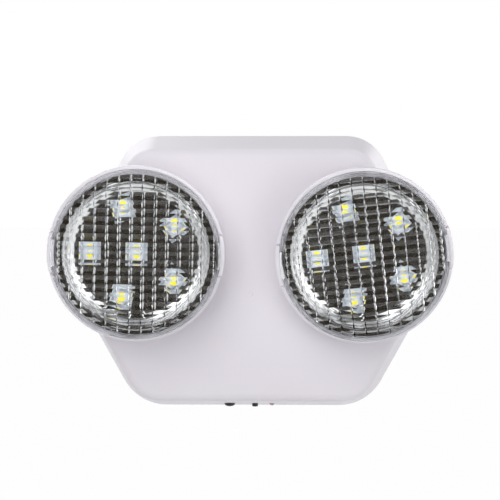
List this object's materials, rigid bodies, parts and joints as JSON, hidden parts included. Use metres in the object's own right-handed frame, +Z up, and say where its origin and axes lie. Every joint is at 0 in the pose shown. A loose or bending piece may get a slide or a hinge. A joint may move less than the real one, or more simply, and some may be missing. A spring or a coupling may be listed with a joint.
{
  "type": "emergency light",
  "caption": "Wall-mounted emergency light: a six-sided battery housing with round LED heads that swivel and tilt, a power button, a test button and a charge indicator.",
  "frame": {"origin": "centre of the back face, on the wall, level with the housing's side corners", "axes": "+Z up, -Y out of the wall towards the viewer, +X to the viewer's right along the housing's length"},
  "size_m": [0.2222, 0.1038, 0.162],
  "materials": {
    "white_abs": "satin moulded ABS",
    "plate_abs": "fine moulded texture",
    "rubber": "matte",
    "battery_case": "satin",
    "strap_steel": "zinc plated",
    "bright_steel": "bright zinc",
    "red_lead": "satin insulation",
    "black_lead": "satin insulation",
    "white_lead": "satin insulation",
    "green_board": "solder mask",
    "core_steel": "varnished laminations",
    "coil_tape": "wound tape",
    "capacitor_sleeve": "shrink sleeve",
    "fuse_glass": "clear",
    "relay_case": "moulded",
    "diode_case": "moulded",
    "terminal_green": "moulded",
    "socket_nylon": "moulded",
    "switch_case": "moulded",
    "black_cap": "satin",
    "indicator_epoxy": "diffused epoxy",
    "washer_fibre": "vulcanised fibre",
    "white_board": "white solder mask",
    "led_package": "yellow phosphor in a white frame",
    "mirror_chrome": "vacuum metallised mirror",
    "clear_lens": "clear polycarbonate with a prism pattern"
  },
  "bodies": {
    "root": {"housing": "white_abs", "back_plate": "plate_abs", "housing_screws": "bright_steel", "cable_grommet": "rubber", "battery": "battery_case", "battery_terminals": "bright_steel", "battery_strap": "strap_steel", "strap_screws": "bright_steel", "battery_lead_red": "red_lead", "battery_lead_black": "black_lead", "main_board": "green_board", "board_screws": "bright_steel", "transformer_core": "core_steel", "transformer_coil": "coil_tape", "capacitors": "capacitor_sleeve", "fuse": "fuse_glass", "relay": "relay_case", "rectifiers": "diode_case", "terminal_block": "terminal_green", "lamp_sockets": "socket_nylon", "left_lamp_lead": "white_lead", "right_lamp_lead": "white_lead", "power_switch": "switch_case", "test_switch": "switch_case", "indicator_led": "indicator_epoxy"},
    "left_swivel": {"left_turntable": "white_abs", "left_swivel_nut": "plate_abs", "left_friction_washer": "washer_fibre", "left_tilt_pins": "bright_steel"},
    "left_head": {"left_ball_joint": "white_abs", "left_stem_nut": "bright_steel", "left_head_shell": "white_abs", "left_led_board": "white_board", "left_leds": "led_package", "left_led_screws": "bright_steel", "left_led_lead": "white_lead", "left_reflector": "mirror_chrome", "left_lens": "clear_lens"},
    "right_swivel": {"right_turntable": "white_abs", "right_swivel_nut": "plate_abs", "right_friction_washer": "washer_fibre", "right_tilt_pins": "bright_steel"},
    "right_head": {"right_ball_joint": "white_abs", "right_stem_nut": "bright_steel", "right_head_shell": "white_abs", "right_led_board": "white_board", "right_leds": "led_package", "right_led_screws": "bright_steel", "right_led_lead": "white_lead", "right_reflector": "mirror_chrome", "right_lens": "clear_lens"},
    "power_button": {"power_button": "black_cap"},
    "test_button": {"test_button": "black_cap"}
  },
  "joints": [
    {"name": "left_spin", "type": "hinge", "parent": "root", "child": "left_swivel", "pos_m": [-0.06359, -0.054, 0.0169], "axis": [0, -1, 0], "range_deg": [-175, 175]},
    {"name": "left_tilt", "type": "hinge", "parent": "left_swivel", "child": "left_head", "pos_m": [-0.06359, -0.054, 0.0169], "axis": [0.7594, 0, 0.6507], "range_deg": [-34.6, 25.4]},
    {"name": "right_spin", "type": "hinge", "parent": "root", "child": "right_swivel", "pos_m": [0.06359, -0.054, 0.0169], "axis": [0, -1, 0], "range_deg": [-175, 175]},
    {"name": "right_tilt", "type": "hinge", "parent": "right_swivel", "child": "right_head", "pos_m": [0.06359, -0.054, 0.0169], "axis": [0.997, 0, -0.078], "range_deg": [-35.1, 24.9]},
    {"name": "power_press", "type": "slide", "parent": "root", "child": "power_button", "axis": [0, 0, 1], "range_m": [0, 0.0015], "stiffness_N_per_m": 600, "springref_m": -0.0005},
    {"name": "test_press", "type": "slide", "parent": "root", "child": "test_button", "axis": [0, 0, 1], "range_m": [0, 0.0005], "stiffness_N_per_m": 800, "springref_m": -0.0005}
  ]
}
